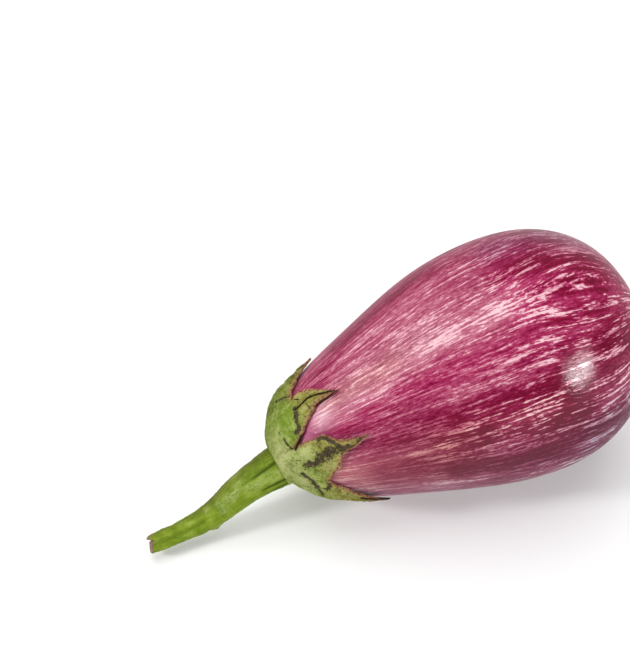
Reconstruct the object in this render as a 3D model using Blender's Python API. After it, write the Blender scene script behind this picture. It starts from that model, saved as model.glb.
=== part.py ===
"""A striped eggplant, picked with its calyx and a cut length of stem, lying on its side.

Metres, +Z up. The origin is the middle of the small flat spot that the fruit rests on.
+X runs from the stem end to the blossom end, and +Y is the fruit's far side.

Angles round the fruit are in degrees about its long axis: 0 towards +Y, 90 on top,
180 towards -Y and 270 underneath. Distances along the skin are measured from the
fruit's stem pole.
"""

import math

import bmesh
import bpy
from mathutils import Vector

# Fruit: a neck that widens from the stem end to a blunt, round blossom end.
FRUIT_LENGTH = 0.1322
FRUIT_RADIUS = 0.042
END_BLUNTNESS = 1.88
TAPER = 0.418
NECK_FLARE = 0.186
BLOSSOM_TUCK = -0.191
AXIS_RISE = 10.5
AXIS_SAG = 0.001
REST_DEPTH = 0.001
FRUIT_RINGS = 32
FRUIT_SIDES = 48
FRUIT_COLOUR = (0.22, 0.02, 0.06)

# Calyx: a cap with pointed sepals, lying a hair's breadth off the skin.
SKIN_GAP = 0.0004
CAP_THICKNESS = 0.0025
EDGE_THICKNESS = 0.001
CAP_REACH = 0.022
TIP_LIFT = 0.0009
LIFT_START = 0.6
CALYX_COLOUR = (0.25, 0.33, 0.08)
# Each sepal: angle and skin distance of the notch before it, then of its tip.
SEPALS = (
    (19, 0.0215, 48, 0.0365),
    (70, 0.0233, 98, 0.0385),
    (126, 0.0170, 135, 0.0427),
    (167, 0.0240, 198, 0.0418),
    (222, 0.0205, 247, 0.0375),
    (275, 0.0225, 303, 0.0395),
    (327, 0.0185, 353, 0.0370),
)
FLANK_FULLNESS = 1.9
FLANK_STEPS = 5
CALYX_ROWS = 9

# Stem: a tapering stalk that leaves the calyx below the fruit's axis, droops, then levels.
# Its droops below level and its radii are given at even steps from the calyx to the cut.
SEAT_RADIUS = 0.0072
SEAT_HEIGHT = 0.0014
SEAT_OFFSET = 0.0028
SEAT_ANGLE = 214
COLLAR_REACH = 0.0135
STEM_GAP = 0.0003
STEM_HEADING = -4.5
STEM_LENGTH = 0.0503
STEM_DROOPS = (16.5, 22.8, 41.5, 18.0, 4.0, 1.0)
STEM_RADII = (0.0068, 0.0061, 0.0053, 0.0042, 0.0035, 0.0031)
RIDGE_COUNT = 5
RIDGE_HEIGHT = 0.06
RIDGE_START = 0.2
STEM_RINGS = 16
STEM_SIDES = 20
STEM_COLOUR = (0.22, 0.35, 0.05)

# Fineness: steps along the skin's profile, the reach used to find its slope, the
# merging distance of a cut, and the edge angles that stay sharp.
SKIN_STEPS = 2000
SLOPE_REACH = 0.0002
CUT_DISTANCE = 0.00001
FRUIT_SHARP_ANGLE = 40
GREEN_SHARP_ANGLE = 50


def clear_scene():
    for item in list(bpy.data.objects):
        bpy.data.objects.remove(item, do_unlink=True)


def smooth_step(value):
    value = min(max(value, 0.0), 1.0)
    return value * value * (3.0 - 2.0 * value)


def mix(first, second, share):
    return first + (second - first) * share


# ---------------------------------------------------------------- fruit shape

def along(values, share):
    """Value part of the way along an evenly spaced list, straight between its entries."""
    place = share * (len(values) - 1)
    index = min(int(place), len(values) - 2)
    return mix(values[index], values[index + 1], place - index)


def profile(station):
    """Relative radius at a station from -1, the stem pole, to 1, the blossom pole."""
    rounding = math.sqrt(max(1.0 - abs(station) ** END_BLUNTNESS, 0.0))
    swell = 1.0 + TAPER * station + NECK_FLARE * station ** 2 + BLOSSOM_TUCK * station ** 3
    return rounding * swell


def stations(count):
    """Stations that crowd towards both poles, where the skin turns fastest."""
    return [-math.cos(math.pi * index / count) for index in range(count + 1)]


WIDEST = max(profile(station) for station in stations(SKIN_STEPS))
RISE = math.radians(AXIS_RISE)
AXIS = Vector((math.cos(RISE), 0.0, math.sin(RISE)))
UPWARD = Vector((-math.sin(RISE), 0.0, math.cos(RISE)))
SIDEWAYS = Vector((0.0, 1.0, 0.0))


def radius_at(station):
    return FRUIT_RADIUS * profile(station) / WIDEST


def round_the_axis(angle):
    """Unit vector square to the axis, at an angle in degrees round it."""
    turn = math.radians(angle)
    return math.cos(turn) * SIDEWAYS + math.sin(turn) * UPWARD


def centreline(station):
    return AXIS * (station * FRUIT_LENGTH / 2.0) - UPWARD * (AXIS_SAG * station ** 2)


def find_rest_spot():
    """Middle of the flat spot, measured from the fruit's centre."""
    underside = [
        centreline(station) + round_the_axis(270) * radius_at(station)
        for station in stations(SKIN_STEPS)
    ]
    floor_height = min(point.z for point in underside) + REST_DEPTH
    touching = [point.x for point in underside if point.z <= floor_height]
    return Vector(((min(touching) + max(touching)) / 2.0, 0.0, floor_height))


REST_SPOT = find_rest_spot()


def skin_point(station, angle):
    return centreline(station) + round_the_axis(angle) * radius_at(station) - REST_SPOT


def measure_skin():
    """Distance along the skin from the stem pole, at each of the fine stations."""
    distances = [0.0]
    fine = stations(SKIN_STEPS)
    for before, after in zip(fine, fine[1:]):
        forward = (after - before) * FRUIT_LENGTH / 2.0
        outward = radius_at(after) - radius_at(before)
        distances.append(distances[-1] + math.hypot(forward, outward))
    return fine, distances


FINE_STATIONS, SKIN_DISTANCES = measure_skin()


def station_at(distance):
    """Station whose skin lies a given distance from the stem pole."""
    low, high = 0, len(SKIN_DISTANCES) - 1
    while high - low > 1:
        middle = (low + high) // 2
        if SKIN_DISTANCES[middle] < distance:
            low = middle
        else:
            high = middle
    share = (distance - SKIN_DISTANCES[low]) / (SKIN_DISTANCES[high] - SKIN_DISTANCES[low])
    return mix(FINE_STATIONS[low], FINE_STATIONS[high], share)


def off_skin(distance, angle, height):
    """Point at a height above the skin, by distance from the stem pole and angle."""
    station = station_at(max(distance, SLOPE_REACH))
    ahead = skin_point(station_at(distance + SLOPE_REACH), angle)
    behind = skin_point(station_at(max(distance - SLOPE_REACH, 0.0)), angle)
    across = AXIS.cross(round_the_axis(angle))
    normal = across.cross((ahead - behind).normalized()).normalized()
    if normal.dot(round_the_axis(angle) - AXIS) < 0.0:
        normal.negate()
    place = skin_point(station if distance > SLOPE_REACH else -1.0, angle)
    return place + normal * height


# ------------------------------------------------------------------- meshing

def ring_faces(mesh, first, second):
    """Quads between two closed rings of the same number of vertices."""
    for index in range(len(first)):
        after = (index + 1) % len(first)
        mesh.faces.new((first[index], first[after], second[after], second[index]))


def fan_faces(mesh, centre, ring):
    for index in range(len(ring)):
        mesh.faces.new((centre, ring[(index + 1) % len(ring)], ring[index]))


def add_ring(mesh, points):
    return [mesh.verts.new(point) for point in points]


def finish_object(mesh, name, material, sharp_angle):
    bmesh.ops.recalc_face_normals(mesh, faces=mesh.faces[:])
    data = bpy.data.meshes.new(name)
    mesh.to_mesh(data)
    mesh.free()
    data.materials.append(material)
    data.shade_smooth()
    data.set_sharp_from_angle(angle=math.radians(sharp_angle))
    item = bpy.data.objects.new(name, data)
    bpy.context.scene.collection.objects.link(item)
    return item


def principled(name, colour, roughness, coat):
    material = bpy.data.materials.new(name)
    material.use_nodes = True
    shader = material.node_tree.nodes["Principled BSDF"]
    shader.inputs["Base Color"].default_value = (*colour, 1.0)
    shader.inputs["Roughness"].default_value = roughness
    shader.inputs["Metallic"].default_value = 0.0
    shader.inputs["Coat Weight"].default_value = coat
    material.diffuse_color = (*colour, 1.0)
    return material


# --------------------------------------------------------------------- fruit

def build_fruit(material):
    mesh = bmesh.new()
    angles = [360.0 * side / FRUIT_SIDES for side in range(FRUIT_SIDES)]
    rings = [
        add_ring(mesh, [skin_point(station, angle) for angle in angles])
        for station in stations(FRUIT_RINGS)[1:-1]
    ]
    for before, after in zip(rings, rings[1:]):
        ring_faces(mesh, before, after)
    fan_faces(mesh, mesh.verts.new(skin_point(-1.0, 0)), rings[0])
    fan_faces(mesh, mesh.verts.new(skin_point(1.0, 0)), rings[-1][::-1])
    cut_rest_spot(mesh)
    return finish_object(mesh, "fruit", material, FRUIT_SHARP_ANGLE)


def cut_rest_spot(mesh):
    """Slice the underside level with the floor and close it with one flat face."""
    cut = bmesh.ops.bisect_plane(
        mesh,
        geom=mesh.verts[:] + mesh.edges[:] + mesh.faces[:],
        dist=CUT_DISTANCE,
        plane_co=(0.0, 0.0, 0.0),
        plane_no=(0.0, 0.0, -1.0),
        clear_outer=True,
    )
    rim = [item for item in cut["geom_cut"] if isinstance(item, bmesh.types.BMEdge)]
    for corner in {corner for edge in rim for corner in edge.verts}:
        corner.co.z = 0.0
    bmesh.ops.contextual_create(mesh, geom=rim)


# --------------------------------------------------------------------- calyx

def flank(notch_angle, notch_distance, tip_angle, tip_distance, share):
    """Point on a sepal's edge, from its notch at share 0 to its tip at share 1."""
    turn = 1.0 - (1.0 - share) ** FLANK_FULLNESS
    return mix(notch_angle, tip_angle, turn), mix(notch_distance, tip_distance, share)


def calyx_outline():
    """Edge points of the whole calyx, each with the angle where its column starts."""
    outline = []
    for index, (notch, depth, tip, length) in enumerate(SEPALS):
        next_notch, next_depth = SEPALS[(index + 1) % len(SEPALS)][:2]
        if next_notch < notch:
            next_notch += 360
        for step in range(2 * FLANK_STEPS):
            root = mix(notch, next_notch, step / (2.0 * FLANK_STEPS))
            if step <= FLANK_STEPS:
                edge = flank(notch, depth, tip, length, step / FLANK_STEPS)
            else:
                share = 2.0 - step / FLANK_STEPS
                edge = flank(next_notch, next_depth, tip, length, share)
            outline.append((root, *edge))
    return outline


def stem_direction(droop):
    """Unit vector along the stem, with its droop below level in degrees."""
    heading, fall = math.radians(STEM_HEADING), math.radians(droop)
    level = Vector((-math.cos(heading), math.sin(heading), 0.0))
    return level * math.cos(fall) - Vector((0.0, 0.0, math.sin(fall)))


SEAT_NORMAL = stem_direction(STEM_DROOPS[0])
SEAT_CENTRE = (
    skin_point(-1.0, 0) + round_the_axis(SEAT_ANGLE) * SEAT_OFFSET - AXIS * SEAT_HEIGHT
)


def on_seat(radius, angle):
    """Point on the flat seat under the stem, at an angle round the fruit's axis."""
    outward = round_the_axis(angle)
    outward -= SEAT_NORMAL * outward.dot(SEAT_NORMAL)
    return SEAT_CENTRE + outward.normalized() * radius


def cap_height(distance, share):
    """Height of the cap's outer face above its inner face."""
    thick = mix(CAP_THICKNESS, EDGE_THICKNESS, smooth_step(distance / CAP_REACH))
    return mix(thick, EDGE_THICKNESS, smooth_step(share) ** 2)


def outer_face(distance, angle, share, lift):
    """Point on the calyx's outer face: flat at the seat, then following the skin."""
    height = SKIN_GAP + cap_height(distance, share) + lift
    cap = off_skin(distance, angle, height)
    if distance >= COLLAR_REACH:
        return cap
    blend = smooth_step((distance - SEAT_RADIUS) / (COLLAR_REACH - SEAT_RADIUS))
    return mix(on_seat(max(distance, SEAT_RADIUS), angle), cap, blend)


def tip_lift(distance, share):
    """The sepals' tips curl a little away from the skin."""
    longest = max(sepal[3] for sepal in SEPALS)
    out = smooth_step((distance / longest - LIFT_START) / (1.0 - LIFT_START))
    return TIP_LIFT * smooth_step(share) * out


def build_calyx(material):
    mesh = bmesh.new()
    outline = calyx_outline()
    outer_rings, inner_rings = [], []
    for row in range(CALYX_ROWS + 1):
        share = row / CALYX_ROWS
        outer, inner = [], []
        for root, edge_angle, edge_distance in outline:
            angle = mix(root, edge_angle, share)
            distance = mix(SEAT_RADIUS, edge_distance, share)
            lift = tip_lift(distance, share)
            outer.append(outer_face(distance, angle, share, lift))
            inner.append(off_skin(distance, angle, SKIN_GAP + lift))
        outer_rings.append(add_ring(mesh, outer))
        inner_rings.append(add_ring(mesh, inner))
    for before, after in zip(outer_rings, outer_rings[1:]):
        ring_faces(mesh, before, after)
    for before, after in zip(inner_rings, inner_rings[1:]):
        ring_faces(mesh, after, before)
    ring_faces(mesh, outer_rings[-1], inner_rings[-1])
    fan_faces(mesh, mesh.verts.new(SEAT_CENTRE), outer_rings[0])
    half_ring = add_ring(
        mesh, [off_skin(SEAT_RADIUS / 2.0, root, SKIN_GAP) for root, _, _ in outline]
    )
    ring_faces(mesh, inner_rings[0], half_ring)
    fan_faces(mesh, mesh.verts.new(off_skin(0.0, 0, SKIN_GAP)), half_ring[::-1])
    return finish_object(mesh, "calyx", material, GREEN_SHARP_ANGLE)


# ---------------------------------------------------------------------- stem

def stem_section(centre, direction, radius, ridge):
    """Ring of points square to the stem, with shallow ridges running along it."""
    side = direction.cross(UPWARD).normalized()
    over = side.cross(direction)
    points = []
    for index in range(STEM_SIDES):
        turn = 2.0 * math.pi * index / STEM_SIDES
        bulge = radius * (1.0 + ridge * math.cos(RIDGE_COUNT * turn))
        points.append(centre + (side * math.cos(turn) + over * math.sin(turn)) * bulge)
    return points


def build_stem(material):
    mesh = bmesh.new()
    centre = SEAT_CENTRE + SEAT_NORMAL * STEM_GAP
    first_centre = centre.copy()
    rings = []
    for index in range(STEM_RINGS + 1):
        share = index / STEM_RINGS
        direction = stem_direction(along(STEM_DROOPS, share))
        ridge = RIDGE_HEIGHT * smooth_step(share / RIDGE_START)
        section = stem_section(centre, direction, along(STEM_RADII, share), ridge)
        rings.append(add_ring(mesh, section))
        last_centre = centre.copy()
        centre += direction * (STEM_LENGTH / STEM_RINGS)
    for before, after in zip(rings, rings[1:]):
        ring_faces(mesh, before, after)
    fan_faces(mesh, mesh.verts.new(first_centre), rings[0])
    fan_faces(mesh, mesh.verts.new(last_centre), rings[-1][::-1])
    return finish_object(mesh, "stem", material, GREEN_SHARP_ANGLE)


def build_eggplant():
    clear_scene()
    build_fruit(principled("striped_skin", FRUIT_COLOUR, roughness=0.3, coat=0.5))
    build_calyx(principled("calyx_green", CALYX_COLOUR, roughness=0.6, coat=0.0))
    build_stem(principled("stem_green", STEM_COLOUR, roughness=0.5, coat=0.0))


build_eggplant()
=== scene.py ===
"""Looks for a striped eggplant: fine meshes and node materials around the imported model."""
import math

import bpy
import numpy as np
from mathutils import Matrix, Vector


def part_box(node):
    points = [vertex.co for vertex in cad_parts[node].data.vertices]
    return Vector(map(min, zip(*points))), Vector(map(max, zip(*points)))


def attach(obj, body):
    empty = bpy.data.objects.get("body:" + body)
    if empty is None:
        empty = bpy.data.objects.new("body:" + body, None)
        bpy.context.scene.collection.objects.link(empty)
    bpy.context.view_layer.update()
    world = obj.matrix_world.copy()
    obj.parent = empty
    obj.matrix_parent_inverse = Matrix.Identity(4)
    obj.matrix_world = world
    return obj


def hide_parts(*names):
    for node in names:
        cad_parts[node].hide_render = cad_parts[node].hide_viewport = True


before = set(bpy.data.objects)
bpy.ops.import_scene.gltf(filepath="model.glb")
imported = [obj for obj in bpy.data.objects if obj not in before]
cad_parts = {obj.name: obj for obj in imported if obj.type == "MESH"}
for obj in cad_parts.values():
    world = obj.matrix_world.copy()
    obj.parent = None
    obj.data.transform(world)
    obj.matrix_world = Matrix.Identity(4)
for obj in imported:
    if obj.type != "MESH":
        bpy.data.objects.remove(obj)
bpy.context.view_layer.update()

MM = 0.001

# Fruit. Stations run from -1, the stem pole, to 1, the blossom pole. Angles round its
# long axis are 0 towards +Y, 90 on top, 180 towards -Y and 270 underneath.
FRUIT_LENGTH = 132.2 * MM
END_BLUNTNESS = 1.88
TAPER = 0.418
NECK_FLARE = 0.186
BLOSSOM_TUCK = -0.191
AXIS_RISE = 10.5
AXIS_SAG = 1 * MM
FLOOR_SOFTENING = 0.3 * MM
FRUIT_ROWS = 190
FRUIT_SIDES = 300
SKIN_STEPS = 4000

# Gentle lumps of the skin: angle, share of the way to the blossom end, half-width in
# degrees, half-length as a share, height.
LUMPS = (
    (45, 0.42, 40, 0.1, 0.7 * MM), (55, 0.63, 45, 0.09, -0.7 * MM),
    (60, 0.84, 50, 0.08, 0.6 * MM), (215, 0.3, 40, 0.12, -0.2 * MM),
    (205, 0.86, 50, 0.07, 0.7 * MM), (108, 0.178, 40, 0.04, 0.5 * MM),
    (300, 0.55, 45, 0.15, 0.8 * MM), (340, 0.75, 40, 0.12, -0.6 * MM),
)
SCAR_RADIUS = 3.6 * MM
SCAR_DEPTH = 0.9 * MM
NUB_RADIUS = 0.9 * MM
NUB_HEIGHT = 0.5 * MM

# Sepals. Each runs from the notch before it, along the points of its first edge, to its
# tip, then along its second edge towards the next notch. Places are angle and skin
# distance in millimetres. The last number is how far its tip stands off the skin.
SEPALS = (
    ((20, 21.5), ((29, 28),), (44, 35.8), ((49, 31), (55, 28), (62, 24.4)), 0.6),
    ((72, 23.2), ((73, 26.5), (81, 30), (91, 35)), (97.5, 38.8),
     ((96, 34.8), (96.5, 31.5), (100, 28.5), (105.5, 24.8), (117, 19.5)), 0.5),
    ((123, 16.5), ((121, 19.5), (122, 23.8), (122, 28), (130, 32), (133, 37)), (134, 42.8),
     ((139, 37.5), (143, 32), (150, 29.8), (159, 26.5)), 1),
    ((168, 23.7), ((177, 27.3), (184, 31), (191, 35.5)), (197, 42.3),
     ((205, 36), (212, 29)), 1.2),
    ((223, 20.5), ((234, 30),), (247, 37.5), ((261, 31),), 0.8),
    ((275, 22.5), ((289, 29),), (303, 39.5), ((313, 31),), 0.8),
    ((327, 18.5), ((337, 28),), (353, 37), ((368, 29),), 1.2),
)
SKIN_GAP = 0.25 * MM
# Thickness of the calyx against skin distance, then swells as angle, distance,
# half-width in degrees, half-length and height.
CAP_DISTANCES = np.array((8, 12, 17, 23, 34)) * MM
CAP_THICKNESSES = np.array((2.5, 2.2, 1.8, 1.4, 0.95)) * MM
SWELLS = (
    (32, 19.5 * MM, 42, 6 * MM, 1.6 * MM), (215, 12 * MM, 55, 8 * MM, -1.2 * MM),
    (25, 8 * MM, 42, 4.5 * MM, -1.05 * MM), (48, 13 * MM, 25, 4 * MM, 0.35 * MM),
    (112, 13 * MM, 20, 4 * MM, 0.3 * MM), (300, 15 * MM, 40, 6 * MM, 0.4 * MM),
)
RIM_THICKNESS = 0.6 * MM
RIM_WIDTH = 2.6
LEAST_THICKNESS = 0.35 * MM
# How far the edge wavers, then each wave's share of that, wavelength in millimetres, seed.
EDGE_WAVE = 0.28 * MM
EDGE_WAVES = ((1, 3.2, 31), (0.8, 1.7, 32))
EDGE_GIRTH = 22 * MM
WAVE_START = 0.8
# Where a sepal starts to rise towards its tip, and how its edge curls up, in waves that
# are measured at this distance from the fruit's axis.
TIP_START = 0.6
CURL = 0.25 * MM
CURL_WIDTH = 2.5
CURL_START = 12 * MM
CURL_REACH = 8 * MM
WAVE_GIRTH = 25 * MM
# Bumps: height on the dome and on the sepals, wavelength in millimetres, and seed. Then
# the folds that run up to the notches, the rib of each sepal, and where the dome ends.
BUMPS = ((0.16, 0.16, 5, 11), (0.07, 0.14, 1.8, 12), (0.03, 0.07, 0.9, 13))
FOLD_DEPTH = 0.55 * MM
FOLD_WIDTH = 1
RIB_HEIGHT = 0.3 * MM
RIB_WIDTH = 1.6
LEAF_START = 17 * MM
LEAF_REACH = 9 * MM
FLANK_STEPS = 52
OUTER_ROWS = 84
INNER_ROWS = 16
RIM_ROWS = 4

# Marks on the sepals: kind, half-width and depth in millimetres, then the line that the
# mark follows, as angle and skin distance in millimetres.
MARKS = (
    ("crack", 0.42, 0.45,
     ((88.5, 23), (88, 25.5), (88, 27.5), (89.5, 30.5), (92.5, 33.5), (96.5, 38))),
    ("crack", 0.3, 0.3, ((77, 24), (83, 25.8))),
    ("crack", 0.22, 0.2, ((92.5, 27.5), (98, 28.2))),
    ("scab", 0.42, 0.25, ((107.5, 14.8), (115.5, 15), (122.5, 15.2))),
    # This crack, along the second sepal's edge into its notch, is partly a real brown crease and
    # partly painted shade in the pocket under that edge.
    ("crack", 0.5, 0.6, ((114, 20.3), (119, 18.3), (124, 16.2))),
    ("scab", 1.05, 0.15, ((88, 23), (94, 22.6), (100, 21.6), (106, 21.3), (110, 20))),
    ("scab", 0.7, 0.1, ((123.5, 26), (125, 28.6), (129, 29.8), (132, 31))),
    ("scab", 0.85, 0.2, ((134, 42.3), (136, 39.3), (138, 37), (138, 34))),
    ("scab", 1.9, 0.35, ((138, 34.5), (137.5, 31.5), (136.5, 28.5), (139, 26.3))),
    ("scab", 1.25, 0.18, ((139, 26), (144, 22.8), (144, 20), (145, 17.8))),
    ("scab", 0.9, 0.15, ((157, 16.3), (163, 16.8), (168.5, 18.3), (178.5, 19.3), (192, 20.3))),
    ("scab", 0.8, 0.15, ((172, 24), (179.5, 22.3))),
    ("crack", 0.8, 0.1, ((193, 33.5), (197, 42.5))),
    ("scab", 0.6, 0.15, ((60, 19), (66, 23))),
    ("scab", 0.6, 0.2, ((40, 27), (44, 33))),
    ("crack", 0.3, 0.3, ((246, 24), (249, 30), (247, 37))),
    ("scab", 1.2, 0.2, ((236, 22), (243, 27))),
    ("crack", 0.35, 0.3, ((303, 25), (301, 31), (303, 39))),
    ("scab", 1.3, 0.2, ((303, 30), (304, 38))),
    ("crack", 0.3, 0.3, ((352, 22), (355, 29), (353, 36))),
    ("scab", 1.1, 0.2, ((340, 20), (348, 24))),
)
# Tinted areas: angle, skin distance in millimetres, half-width, half-length, strength.
TINTS = {
    "dome": (
        # The dome's pale tint is partly its own paler green and partly a painted highlight; the spot
        # at 130 degrees, 20.5 millimetres, is a painted waxy highlight.
        (130, 11, 45, 7, 1), (130, 20.5, 8, 3, 0.9), (175, 15, 25, 5, 0.9),
        (150, 27, 7, 3, 0.6), (230, 10, 40, 8, 0.7),
    ),
    "bright": (
        (92, 19, 14, 3.5, 1), (111, 17.5, 9, 3, 0.9), (72, 16, 12, 4, 0.6),
        (290, 16, 40, 6, 0.6),
    ),
    "olive": (
        (40, 17, 28, 9, 1), (48, 28, 18, 8, 0.9), (66, 22, 9, 4, 0.6), (44, 31, 14, 6, 0.8),
        (70, 10, 26, 4, 0.45), (330, 20, 35, 8, 0.7),
    ),
    "speckle": (
        (50, 26, 18, 7, 1), (88, 24, 8, 3, 0.8), (127, 28, 8, 4, 1), (150, 22, 16, 6, 1),
        (188, 26, 18, 7, 0.9), (246, 27, 16, 6, 0.8), (300, 28, 18, 6, 0.8),
        (352, 26, 16, 6, 0.8),
    ),
    "dry": (
        (44, 35, 5, 3, 0.9), (97, 38, 3, 2.5, 0.7), (134, 42, 4, 2.2, 0.9),
        (197, 40, 8, 6, 1), (247, 37, 4, 3, 0.9), (303, 39, 4, 3, 0.9), (353, 36, 5, 3, 0.9),
    ),
}
FIELD_NAMES = ("crack", "scab", *TINTS)

# Stem. Heading is from -X towards +Y. Droops below level, in degrees, and radii in
# millimetres are given at even steps from the calyx to the cut.
SEAT_RADIUS = 7 * MM
SEAT_HEIGHT = 1.4 * MM
SEAT_OFFSET = 2.8 * MM
SEAT_ANGLE = 214
COLLAR_REACH = 12 * MM
COLLAR_SWING = 2 * MM
COLLAR_ANGLE = 40
CREASE_DEPTH = 0.8 * MM
CREASE_START = 6 * MM
CREASE_REACH = 1.4 * MM
STEM_HEADING = -4.5
STEM_LENGTH = 52.8 * MM
STEM_SINK = 1 * MM
DROOPS = (16.5, 22.8, 41.5, 18.2, 4, 1)
RADII = (7.4, 6.1, 5.25, 4.2, 3.5, 3.2)
BEND_SOFTENING = 0.06
STEM_ROWS = 190
STEM_SIDES = 120
CUT_RINGS = 10
CUT_START = 0.9
CUT_FACING = 130
CUT_HOLLOW = 0.4 * MM
# Outline of the cut end, from its upper edge to its lower: a round lip, a notch and a
# straight lobe. Each point: place across the stem, and how far it stands out.
CUT_OUTLINE = (
    (-1, -2.6), (-0.86, -0.8), (-0.7, 0), (-0.52, -0.3), (-0.36, -2), (-0.2, -0.8), (0.9, 0.3),
    (1, -0.2),
)
# Grooves along the stem: angle and share where each starts and ends, half-width in
# degrees, depth in millimetres.
GROOVES = (
    (112, 0, 116, 0.27, 6, 0.8), (171, 0, 168, 0.25, 6, 0.8), (196, 0, 200, 0.24, 9, 1),
    (131, 0.55, 138, 1, 17, 0.65), (76, 0, 70, 0.6, 12, 0.35), (62, 0.66, 58, 0.96, 10, 0.45),
    (258, 0.05, 262, 0.95, 12, 0.6), (310, 0, 318, 0.75, 10, 0.6), (350, 0.1, 352, 1, 10, 0.5),
)
# Warts and the bud scar: angle, share, height and half-width in millimetres.
WARTS = (
    (128, 0.12, 0.2, 1.6), (139, 0.19, 0.35, 1.5), (128, 0.24, 0.3, 0.9),
    (120, 0.31, 0.45, 1.1), (103, 0.27, 0.3, 1), (115, 0.37, 0.45, 1.1), (134, 0.35, 0.25, 0.9),
    (123, 0.43, 0.35, 0.9), (142, 0.45, 0.35, 1.1), (104, 0.45, 0.25, 0.8), (92, 0.55, 0.25, 1),
    (217, 0.575, 1.1, 0.9), (62, 0.26, 0.25, 1.2), (300, 0.3, 0.5, 1.2),
)
BUD = (219, 0.56, 0.6)
# Pale rib between the grooves at the stem's base, partly a painted highlight: angle, share, and how
# far it spreads.
RIB = (143, 0.02, 15, 0.11)
# Sides of the stem that are olive, tired or brown: angle and how far each spreads.
OLIVE_SIDE = (62, 36)
TIRED_SIDE = (48, 13)
BROWN_SIDE = (222, 9)

# Camera, square to a point beside the fruit.
CAMERA_AIM = Vector((-53.2, 30.3, 49.3)) * MM
CAMERA_DISTANCE = 0.6734
CAMERA_AZIMUTH = -21
CAMERA_ELEVATION = 50
CAMERA_LENS = 110


def ease(value, start=0, reach=1):
    """Smooth rise from 0 at start to 1 a reach further on."""
    share = np.clip((value - start) / reach, 0, 1)
    return share * share * (3 - 2 * share)


def mix(first, second, share):
    return first + (second - first) * share


def unit(vectors):
    return vectors / (np.linalg.norm(vectors, axis=-1, keepdims=True) + 1e-12)


def angle_between(angle, other):
    """Signed difference in degrees, from -180 to 180."""
    return (np.asarray(angle) - other + 180) % 360 - 180


def spot(distance, angle, middle, where, half_width, half_length):
    """Strength of one soft spot, which is 1 in its middle."""
    across = angle_between(angle, middle) / half_width
    along = (distance - where) / half_length
    return np.exp(-across ** 2 - along ** 2)


def soft_noise(points, wavelength, seed, waves=14):
    """Smooth noise of about -1 to 1 from a few plane waves in random directions."""
    rng = np.random.default_rng(seed)
    directions = unit(rng.normal(size=(waves, 3)))
    lengths = wavelength * rng.uniform(0.7, 1.5, waves)
    phases = rng.uniform(0, 2 * math.pi, waves)
    total = np.zeros(points.shape[:-1])
    for direction, length, phase in zip(directions, lengths, phases):
        total += np.sin(points @ direction * (2 * math.pi / length) + phase)
    return total / math.sqrt(waves)


# ---------- the skin

def profile(station):
    rounding = np.sqrt(np.clip(1 - np.abs(station) ** END_BLUNTNESS, 0, None))
    swell = 1 + TAPER * station + NECK_FLARE * station ** 2 + BLOSSOM_TUCK * station ** 3
    return rounding * swell


RISE = math.radians(AXIS_RISE)
AXIS = np.array((math.cos(RISE), 0, math.sin(RISE)))
UPWARD = np.array((-math.sin(RISE), 0, math.cos(RISE)))
SIDEWAYS = np.array((0, 1, 0))
FRUIT_LOW, FRUIT_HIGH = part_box("fruit")
FRUIT_RADIUS = (FRUIT_HIGH.y - FRUIT_LOW.y) / 2

FINE = -np.cos(np.linspace(0, math.pi, SKIN_STEPS))
FINE_RADII = FRUIT_RADIUS * profile(FINE) / profile(FINE).max()
DISTANCES = np.concatenate(
    ([0], np.cumsum(np.hypot(np.diff(FINE * FRUIT_LENGTH / 2), np.diff(FINE_RADII))))
)
SKIN_LENGTH = DISTANCES[-1]


def round_the_axis(angle):
    """Unit vectors square to the axis, at angles in degrees round it."""
    turn = np.radians(np.asarray(angle, float))[..., None]
    return np.cos(turn) * SIDEWAYS + np.sin(turn) * UPWARD


def radius_at(distance):
    return np.interp(distance, DISTANCES, FINE_RADII)


def bare_point(distance, angle):
    """Point on the smooth skin, about the fruit's own centre."""
    station = np.interp(distance, DISTANCES, FINE)
    sag = AXIS_SAG * station ** 2
    centre = station[..., None] * FRUIT_LENGTH / 2 * AXIS - sag[..., None] * UPWARD
    return centre + round_the_axis(angle) * radius_at(distance)[..., None]


def place_in_frame():
    """Moves the fruit's own centre so that its box matches the CAD fruit's."""
    along, round_it = np.meshgrid(
        np.linspace(0, SKIN_LENGTH, 400), np.linspace(0, 360, 181), indexing="ij"
    )
    own = bare_point(along, round_it).reshape(-1, 3)
    return np.array((FRUIT_LOW.x - own[:, 0].min(), 0, FRUIT_HIGH.z - own[:, 2].max()))


PLACE = place_in_frame()


def lumps(distance, angle):
    return sum(rise * spot(distance / SKIN_LENGTH, angle, *place) for *place, rise in LUMPS)


def skin_normal(distance, angle):
    """Outward unit normal of the smooth skin."""
    reach = 0.05 * MM
    low = np.clip(distance - reach, 0, SKIN_LENGTH)
    high = np.clip(distance + reach, 0, SKIN_LENGTH)
    along = unit(bare_point(high, angle) - bare_point(low, angle))
    across = np.cross(AXIS, round_the_axis(angle))
    return unit(np.cross(across, along))


def off_skin(distance, angle, height):
    """Point at a height above the lumpy skin."""
    distance, angle = np.broadcast_arrays(np.asarray(distance, float), np.asarray(angle, float))
    rise = np.asarray(height) + lumps(distance, angle)
    normal = skin_normal(distance, angle)
    return bare_point(distance, angle) + PLACE + normal * rise[..., None]


# ---------- meshing

def rings_to_faces(count, sides):
    """Quads between consecutive closed rings of vertices."""
    faces = []
    for row in range(count - 1):
        base = row * sides
        for side in range(sides):
            after = (side + 1) % sides
            faces.append((base + side, base + after, base + sides + after, base + sides + side))
    return faces


def fan_to_faces(centre, base, sides, flip):
    faces = []
    for side in range(sides):
        after = (side + 1) % sides
        corners = (centre, base + after, base + side)
        faces.append(corners[::-1] if flip else corners)
    return faces


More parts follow.
